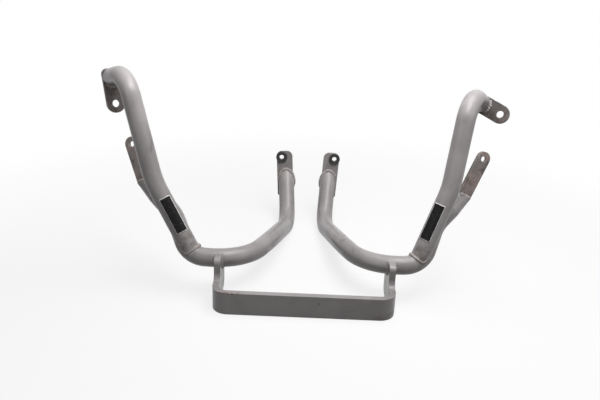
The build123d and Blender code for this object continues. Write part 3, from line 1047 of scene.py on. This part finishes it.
class CRASHBARS_OT_studio(bpy.types.Operator):
    """Lay the floor, hang the lamps and stand the camera"""

    bl_idname = "crashbars.studio"
    bl_label = "Studio"

    def execute(self, context):
        studio = context.scene.bars_studio
        context.scene.view_settings.view_transform = "Standard"
        self.floor(studio)
        self.room(context, studio)
        for name in LAMPS:
            self.lamp(name, getattr(studio, name))
        self.camera(context, studio)
        return {"FINISHED"}

    def floor(self, studio):
        """Lay a floor that is seen as white, with a soft shadow near the bars."""
        shadow_start = 0.4 * studio.shadow_reach
        half = studio.floor_size / 2
        mesh = bpy.data.meshes.new("floor")
        mesh.from_pydata(
            [(-half, -half, 0), (half, -half, 0), (half, half, 0), (-half, half, 0)], [], [(0, 1, 2, 3)]
        )
        floor = bpy.data.objects.new("floor", mesh)
        bpy.context.scene.collection.objects.link(floor)
        finish = Finish("pale floor")
        tree = finish.tree
        tree.nodes.remove(finish.surface)
        thrown = finish.node("ShaderNodeBsdfDiffuse")
        thrown.inputs["Color"].default_value = studio.floor
        shaded = finish.node("ShaderNodeBsdfDiffuse")
        shaded.inputs["Color"].default_value = WHITE
        glow = finish.node("ShaderNodeEmission")
        glow.inputs["Color"].default_value = WHITE
        glow.inputs["Strength"].default_value = 1.0
        near = finish.step(finish.away((0, 0, 0)), shadow_start, studio.shadow_reach, studio.shadow, 0)
        look = finish.node("ShaderNodeMixShader")
        finish.feed(look.inputs["Fac"], near)
        finish.feed(look.inputs[1], glow.outputs["Emission"])
        finish.feed(look.inputs[2], shaded.outputs["BSDF"])
        choice = seen_white(tree, thrown.outputs["BSDF"])
        finish.feed(choice.inputs[2], look.outputs["Shader"])
        finish.feed(tree.nodes["Material Output"].inputs["Surface"], choice.outputs["Shader"])
        mesh.materials.append(finish.material)

    def room(self, context, studio):
        """Fill the room with weak even light, and show it as white."""
        world = bpy.data.worlds.new("studio room")
        context.scene.world = world
        world.use_nodes = True
        tree = world.node_tree
        even = tree.nodes["Background"]
        even.inputs["Color"].default_value = WHITE
        even.inputs["Strength"].default_value = studio.room
        white = tree.nodes.new("ShaderNodeBackground")
        white.inputs["Color"].default_value = WHITE
        white.inputs["Strength"].default_value = 1.0
        choice = seen_white(tree, even.outputs["Background"])
        tree.links.new(white.outputs["Background"], choice.inputs[2])
        tree.links.new(choice.outputs["Shader"], tree.nodes["World Output"].inputs["Surface"])

    def lamp(self, name, power):
        """Hang one of the lamps."""
        place, target, width, height, spread = LAMPS[name]
        light = bpy.data.lights.new(f"{name}_lamp", "AREA")
        light.shape = "RECTANGLE"
        light.size = width
        light.size_y = height
        light.energy = power
        light.spread = spread
        lamp = bpy.data.objects.new(f"{name}_lamp", light)
        lamp.location = place
        lamp.rotation_euler = (Vector(target) - Vector(place)).to_track_quat("-Z", "Y").to_euler()
        bpy.context.scene.collection.objects.link(lamp)

    def camera(self, context, studio):
        """Stand the camera where the bars were photographed from."""
        forward = Vector((
            math.sin(studio.yaw) * math.cos(studio.pitch),
            math.cos(studio.yaw) * math.cos(studio.pitch),
            -math.sin(studio.pitch),
        ))
        right = Vector((math.cos(studio.yaw), -math.sin(studio.yaw), 0))
        up = right.cross(forward)
        turned_right = right * math.cos(studio.roll) + up * math.sin(studio.roll)
        turned_up = up * math.cos(studio.roll) - right * math.sin(studio.roll)
        lens = bpy.data.cameras.new("camera")
        lens.sensor_fit = "HORIZONTAL"
        lens.sensor_width = PICTURE_WIDTH
        lens.lens = studio.lens
        camera = bpy.data.objects.new("camera", lens)
        turn = Matrix((turned_right, turned_up, -forward)).transposed().to_4x4()
        camera.matrix_world = Matrix.Translation(studio.camera) @ turn
        context.scene.collection.objects.link(camera)
        context.scene.camera = camera


class CRASHBARS_PT_panel(bpy.types.Panel):
    """Lists the steps that dress the crash bars"""

    bl_idname = "CRASHBARS_PT_panel"
    bl_label = "Crash Bars"
    bl_space_type = "VIEW_3D"
    bl_region_type = "UI"
    bl_category = "Crash Bars"

    def draw(self, context):
        for operator in OPERATORS:
            self.layout.operator(operator.bl_idname)


SETTINGS = {
    "bars_paint": PaintSettings,
    "bars_steel": SteelSettings,
    "bars_edges": EdgeSettings,
    "bars_weld": WeldSettings,
    "bars_label": LabelSettings,
    "bars_bush": BushSettings,
    "bars_studio": StudioSettings,
}
OPERATORS = (
    CRASHBARS_OT_tubes,
    CRASHBARS_OT_bracket,
    CRASHBARS_OT_plates,
    CRASHBARS_OT_bushes,
    CRASHBARS_OT_labels,
    CRASHBARS_OT_welds,
    CRASHBARS_OT_studio,
)


def register():
    for name, group in SETTINGS.items():
        bpy.utils.register_class(group)
        setattr(bpy.types.Scene, name, PointerProperty(type=group))
    for operator in OPERATORS:
        bpy.utils.register_class(operator)
    bpy.utils.register_class(CRASHBARS_PT_panel)


def unregister():
    bpy.utils.unregister_class(CRASHBARS_PT_panel)
    for operator in reversed(OPERATORS):
        bpy.utils.unregister_class(operator)
    for name, group in reversed(SETTINGS.items()):
        delattr(bpy.types.Scene, name)
        bpy.utils.unregister_class(group)


def main():
    register()
    bpy.ops.crashbars.tubes()
    bpy.ops.crashbars.bracket()
    bpy.ops.crashbars.plates()
    bpy.ops.crashbars.bushes()
    bpy.ops.crashbars.labels()
    bpy.ops.crashbars.welds()
    bpy.ops.crashbars.studio()


if __name__ == "__main__":
    main()
